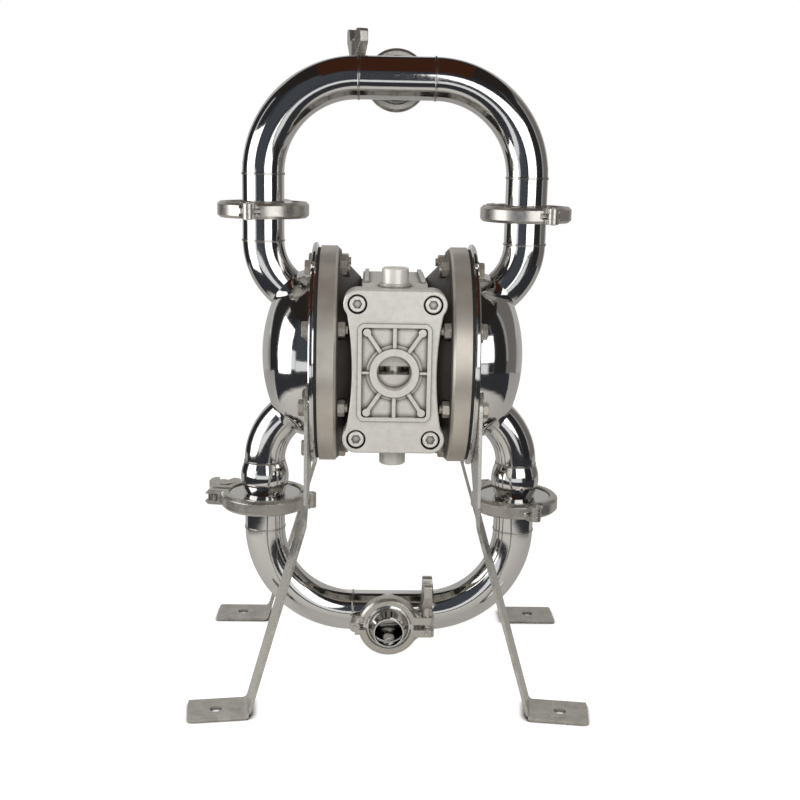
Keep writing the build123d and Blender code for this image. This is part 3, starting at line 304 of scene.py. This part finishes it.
ripple_tree = bpy.data.node_groups.new("weld_ripples", "GeometryNodeTree")
ripple_tree.interface.new_socket("Geometry", in_out="INPUT", socket_type="NodeSocketGeometry")
ripple_tree.interface.new_socket("Geometry", in_out="OUTPUT", socket_type="NodeSocketGeometry")
sockets = {}
for name, value in weld_sizes.items():
    kind = "NodeSocketInt" if isinstance(value, int) else "NodeSocketFloat"
    sockets[name] = ripple_tree.interface.new_socket(name, in_out="INPUT", socket_type=kind).identifier
given = add(ripple_tree, "NodeGroupInput")
steps = add(ripple_tree, "ShaderNodeMath", {"operation": "MULTIPLY"}, {
    0: given.outputs["Ripples"], 1: 2.0})
round_tube = add(ripple_tree, "GeometryNodeCurvePrimitiveCircle", None, {
    "Resolution": steps.outputs[0], "Radius": given.outputs["Tube radius"]})
index = add(ripple_tree, "GeometryNodeInputIndex")
parity = add(ripple_tree, "ShaderNodeMath", {"operation": "MODULO"}, {0: index.outputs[0], 1: 2.0})
swell = add(ripple_tree, "ShaderNodeMapRange", None, {
    "Value": parity.outputs[0], "To Min": 0.72, "To Max": 1.0})
outline = add(ripple_tree, "GeometryNodeCurvePrimitiveCircle", None, {
    "Resolution": 8, "Radius": 1.0})
size = add(ripple_tree, "ShaderNodeCombineXYZ", None, {
    "X": given.outputs["Proud"], "Y": given.outputs["Half width"], "Z": 1.0})
oval = add(ripple_tree, "GeometryNodeTransform", None, {
    "Geometry": outline.outputs["Curve"], "Scale": size.outputs[0]})
ring = add(ripple_tree, "GeometryNodeCurveToMesh", None, {
    "Curve": round_tube.outputs["Curve"], "Profile Curve": oval.outputs[0], "Scale": swell.outputs[0]})
angles = add(ripple_tree, "GeometryNodeInputNamedAttribute", {"data_type": "FLOAT_VECTOR"}, {
    "Name": "turn"})
copies = add(ripple_tree, "GeometryNodeInstanceOnPoints", None, {
    "Points": given.outputs["Geometry"], "Instance": ring.outputs[0],
    "Rotation": angles.outputs["Attribute"]})
real = add(ripple_tree, "GeometryNodeRealizeInstances", None, {"Geometry": copies.outputs[0]})
faced = add(ripple_tree, "GeometryNodeSetMaterial", None, {
    "Geometry": real.outputs[0], "Material": brushed_weld})
add(ripple_tree, "NodeGroupOutput", None, {"Geometry": faced.outputs[0]})
modifier = welds.modifiers.new("ripples", "NODES")
modifier.node_group = ripple_tree
for name, value in weld_sizes.items():
    modifier[sockets[name]] = value
settled = bpy.context.evaluated_depsgraph_get()
welds.data = bpy.data.meshes.new_from_object(welds.evaluated_get(settled))
welds.modifiers.clear()
welds.data.shade_smooth()
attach(welds, "pump")


# ---- chamber bolts ---------------------------------------------------------------------------
# Sixteen M10 hexagon bolts, each with a washer and a nut, pull flange and ring
# together round the diaphragm. Zinc plate, handled: cloudy, half bright.
bolt_steel, tree = finish_named("worn_zinc_plate")
place = add(tree, "ShaderNodeTexCoord")
marks = add(tree, "ShaderNodeTexNoise", None, {
    "Vector": place.outputs["Object"], "Scale": 1 / 0.003, "Detail": 4.0})
tone = add(tree, "ShaderNodeMix", {"data_type": "RGBA"}, {
    "Factor": marks.outputs["Fac"], "A": linear("#8e867a"), "B": linear("#d0cabf")})
dull = add(tree, "ShaderNodeMapRange", None, {
    "Value": marks.outputs["Fac"], "To Min": 0.22, "To Max": 0.42})
round_edge = add(tree, "ShaderNodeBevel", {"samples": 4}, {"Radius": 0.0004})
steel = add(tree, "ShaderNodeBsdfPrincipled", None, {
    "Base Color": tone.outputs["Result"], "Metallic": 0.7, "Roughness": dull.outputs[0],
    "Normal": round_edge.outputs[0]})
add(tree, "ShaderNodeOutputMaterial", None, {"Surface": steel.outputs[0]})
dress(bolt_steel, "chamber_bolts_left", "chamber_bolts_right")


# ---- ball valves and joint gaskets -----------------------------------------------------------
# Moulded white polymer seats whose flanges show as a pale line in each clamped
# joint, and rubber balls: slightly soft-edged, satin, a little off white.
white_polymer, tree = finish_named("moulded_white_polymer")
place = add(tree, "ShaderNodeTexCoord")
cloud = add(tree, "ShaderNodeTexNoise", None, {
    "Vector": place.outputs["Object"], "Scale": 1 / 0.008, "Detail": 3.0})
tone = add(tree, "ShaderNodeMix", {"data_type": "RGBA"}, {
    "Factor": cloud.outputs["Fac"], "A": linear("#dcd8ce"), "B": linear("#ece9e1")})
polymer = add(tree, "ShaderNodeBsdfPrincipled", None, {
    "Base Color": tone.outputs["Result"], "Roughness": 0.45})
add(tree, "ShaderNodeOutputMaterial", None, {"Surface": polymer.outputs[0]})
dress(white_polymer, "inlet_gasket", "outlet_gasket", *(
    f"{piece}_{level}_{hand}" for piece in ("ball", "valve_seat") for level in ("lower", "upper")
    for hand in ("left", "right")))


# ---- clamps ------------------------------------------------------------------------------------
# Investment-cast stainless jaws and wing nuts, tumbled and polished: bright, but
# with the soft edges and slight unevenness of a casting.
cast_steel, tree = finish_named("polished_investment_casting")
place = add(tree, "ShaderNodeTexCoord")
orange_peel = add(tree, "ShaderNodeTexNoise", None, {
    "Vector": place.outputs["Object"], "Scale": 1 / 0.0050, "Detail": 2.0})
dull = add(tree, "ShaderNodeMapRange", None, {
    "Value": orange_peel.outputs["Fac"], "From Min": 0.3, "From Max": 0.7, "To Min": 0.26,
    "To Max": 0.34})
round_edge = add(tree, "ShaderNodeBevel", {"samples": 6}, {"Radius": 0.0014})
relief = add(tree, "ShaderNodeBump", None, {
    "Strength": 0.10, "Distance": 0.0002, "Height": orange_peel.outputs["Fac"],
    "Normal": round_edge.outputs[0]})
steel = add(tree, "ShaderNodeBsdfPrincipled", None, {
    "Base Color": linear("#ccc8c1"), "Metallic": 0.92, "Roughness": dull.outputs[0],
    "Normal": relief.outputs[0]})
add(tree, "ShaderNodeOutputMaterial", None, {"Surface": steel.outputs[0]})
for joint in ("upper_left", "upper_right", "lower_left", "lower_right", "inlet", "outlet"):
    dress(cast_steel, f"clamp_{joint}_jaws", f"clamp_{joint}_wing_nut")
    dress(turned_steel, f"clamp_{joint}_bolt")


# ---- floor and light ------------------------------------------------------------------------------
# White sweep, soft boxes, and cards that only polished metal sees, as they are set
# round chrome: dark in front, grey behind, a low window for the domes.
floor_mesh = bpy.data.meshes.new("floor")
floor_mesh.from_pydata([(-6, -6, 0), (6, -6, 0), (6, 6, 0), (-6, 6, 0)], [], [(0, 1, 2, 3)])
floor = bpy.data.objects.new("floor", floor_mesh)
bpy.context.collection.objects.link(floor)
# Matt white paper, with a painted contact shadow darkening it where something stands on it.
white_floor, tree = finish_named("white_floor")
path = add(tree, "ShaderNodeLightPath")
mirrored = add(tree, "ShaderNodeMath", {"operation": "ADD"}, {
    0: path.outputs["Is Transmission Ray"], 1: path.outputs["Is Glossy Ray"]})
mirrored = add(tree, "ShaderNodeMath", {"operation": "MULTIPLY"}, {0: mirrored.outputs[0], 1: 0.15})
lift = add(tree, "ShaderNodeMath", {"operation": "MULTIPLY_ADD"}, {
    0: path.outputs["Is Camera Ray"], 1: 0.84, 2: mirrored.outputs[0]})
# Painted shadow: near the object the floor colour darkens towards #2e2823 and its white lift fades.
near = add(tree, "ShaderNodeAmbientOcclusion", {"samples": 8}, {"Distance": 0.013})
open_floor = add(tree, "ShaderNodeMapRange", None, {
    "Value": near.outputs["AO"], "From Min": 0.45, "From Max": 0.90})
shaded = add(tree, "ShaderNodeMix", {"data_type": "RGBA"}, {
    "Factor": open_floor.outputs[0], "A": linear("#2e2823"), "B": linear("#b2aea9")})
lift = add(tree, "ShaderNodeMath", {"operation": "MULTIPLY"}, {
    0: lift.outputs[0], 1: open_floor.outputs[0]})
matt = add(tree, "ShaderNodeBsdfDiffuse", None, {"Color": shaded.outputs["Result"]})
glow = add(tree, "ShaderNodeEmission", None, {"Color": (1, 1, 1, 1), "Strength": lift.outputs[0]})
both = add(tree, "ShaderNodeAddShader", None, {0: matt.outputs[0], 1: glow.outputs[0]})
add(tree, "ShaderNodeOutputMaterial", None, {"Surface": both.outputs[0]})
floor_mesh.materials.append(white_floor)

world = bpy.data.worlds.new("white_room")
bpy.context.scene.world = world
world.use_nodes = True
tree = world.node_tree
tree.nodes.clear()
path = add(tree, "ShaderNodeLightPath")
seen = add(tree, "ShaderNodeMath", {"operation": "ADD"}, {
    0: path.outputs["Is Camera Ray"], 1: path.outputs["Is Glossy Ray"]})
seen = add(tree, "ShaderNodeMath", {"operation": "ADD", "use_clamp": True}, {
    0: seen.outputs[0], 1: path.outputs["Is Transmission Ray"]})
level = add(tree, "ShaderNodeMapRange", None, {
    "Value": seen.outputs[0], "To Min": 0.42, "To Max": 1.0})
sky = add(tree, "ShaderNodeBackground", None, {"Color": (1, 1, 1, 1), "Strength": level.outputs[0]})
add(tree, "ShaderNodeOutputWorld", None, {"Surface": sky.outputs[0]})


def softbox(name, centre, aim, width, tall, watts):
    """Rectangular area lamp looking from centre to aim."""
    lamp = bpy.data.lights.new(name, "AREA")
    lamp.shape, lamp.size, lamp.size_y, lamp.energy = "RECTANGLE", width, tall, watts
    holder = bpy.data.objects.new(name, lamp)
    holder.location = centre
    holder.rotation_euler = (Vector(aim) - Vector(centre)).to_track_quat("-Z", "Y").to_euler()
    bpy.context.collection.objects.link(holder)


softbox("left_softbox", (-0.84, -0.30, 0.55), (0, 0, 0.45), 0.62, 0.80, 3.4)
softbox("right_softbox", (0.68, -1.34, 0.80), (0, 0, 0.45), 1.20, 0.90, 7.0)
softbox("front_fill", (-0.35, -1.60, 1.25), (0, 0, 0.40), 1.00, 0.80, 20.0)
bpy.data.objects["front_fill"].visible_glossy = False


def card(name, corners, faces, colour, cover=None):
    """Stage card that only reflections see; cover is 1 where it hides what is behind."""
    mesh = bpy.data.meshes.new(name)
    mesh.from_pydata(corners, [], faces)
    holder = bpy.data.objects.new(name, mesh)
    bpy.context.collection.objects.link(holder)
    fade = mesh.attributes.new("cover", "FLOAT", "POINT")
    fade.data.foreach_set("value", cover or [1.0] * len(corners))
    material, tree = finish_named(name)
    glow = add(tree, "ShaderNodeEmission", None, {"Color": linear(colour), "Strength": 1.0})
    clear = add(tree, "ShaderNodeBsdfTransparent")
    share = add(tree, "ShaderNodeAttribute", {"attribute_name": "cover"})
    both = add(tree, "ShaderNodeMixShader", None, {
        0: share.outputs["Fac"], 1: clear.outputs[0], 2: glow.outputs[0]})
    add(tree, "ShaderNodeOutputMaterial", None, {"Surface": both.outputs[0]})
    mesh.materials.append(material)
    holder.visible_camera = holder.visible_diffuse = holder.visible_shadow = False


def curved_card(name, from_angle, to_angle, colour, radius, soft=9, low=0.02, high=2.2):
    """Upright card on an arc with soft ends; angles are degrees from the front to the right."""
    inner = [from_angle + soft + (to_angle - from_angle - 2 * soft) * k / 10 for k in range(11)]
    angles = [from_angle, *inner, to_angle]
    corners, faces, cover = [], [], []
    for k, angle in enumerate(angles):
        a = math.radians(angle)
        corners += [(radius * math.sin(a), -radius * math.cos(a), z) for z in (low, high)]
        cover += [0.0 if angle in (from_angle, to_angle) else 1.0] * 2
        if k:
            faces.append((2 * k - 2, 2 * k, 2 * k + 1, 2 * k - 1))
    card(name, corners, faces, colour, cover)


curved_card("card_left_back", -138, -88, "#2d2c2c", 1.70)
curved_card("card_front", -92, 52, "#2c2d31", 1.80)
curved_card("card_front_grey", -58, 14, "#474b52", 1.74, 24)
curved_card("card_right", 40, 92, "#2b2b2d", 1.70)
curved_card("card_right_back", 84, 140, "#74716e", 1.78)
curved_card("card_far_right", 132, 184, "#b3b1af", 1.86)
curved_card("card_far_left", -184, -132, "#b6b5b3", 1.78)
curved_card("window_left", -66, -38, "#f3f5f8", 1.48, 5, 0.10, 0.64)
curved_card("window_low_front", -44, 36, "#eef0f2", 1.52, 6, 0.03, 0.33)
# Dark ceiling, a warm beam above the level run, and the dark ground past the paper.
roof = [(1.9 * math.sin(math.radians(a)), -1.9 * math.cos(math.radians(a)), 2.2)
        for a in range(-180, 180, 12)]
card("card_roof", roof, [tuple(range(len(roof)))], "#2a2624")
card("card_brown", [(-0.24, -0.60, 1.10), (0.24, -0.60, 1.10), (0.24, 0.20, 1.10), (-0.24, 0.20, 1.10)],
     [(0, 1, 2, 3)], "#40251a")
apron_angles = range(-110, 101, 10)
apron = [(r * math.sin(math.radians(a)), -r * math.cos(math.radians(a)), 0.004)
         for r in (0.60, 0.70, 1.80) for a in apron_angles]
count = len(apron_angles)
card("card_apron", apron,
     [(row + k, row + k + 1, row + k + 1 + count, row + k + count)
      for row in (0, count) for k in range(count - 1)],
     "#35363a", [0.0] * count + [1.0] * 2 * count)


# ---- camera -----------------------------------------------------------------------------------------
# Eye height above a bench, a little to the left, looking slightly down.
lens = bpy.data.cameras.new("camera")
lens.lens, lens.sensor_width = 51.83, 36.0
camera = bpy.data.objects.new("camera", lens)
bpy.context.collection.objects.link(camera)
camera.matrix_world = (Matrix.Translation((-0.0281, -1.4218, 0.6576))
                       @ Matrix.Rotation(math.radians(-1.56), 4, "Z")
                       @ Matrix.Rotation(math.radians(90 - 12.13), 4, "X")
                       @ Matrix.Rotation(math.radians(1.11), 4, "Z"))
bpy.context.scene.camera = camera
bpy.context.scene.view_settings.view_transform = "Standard"
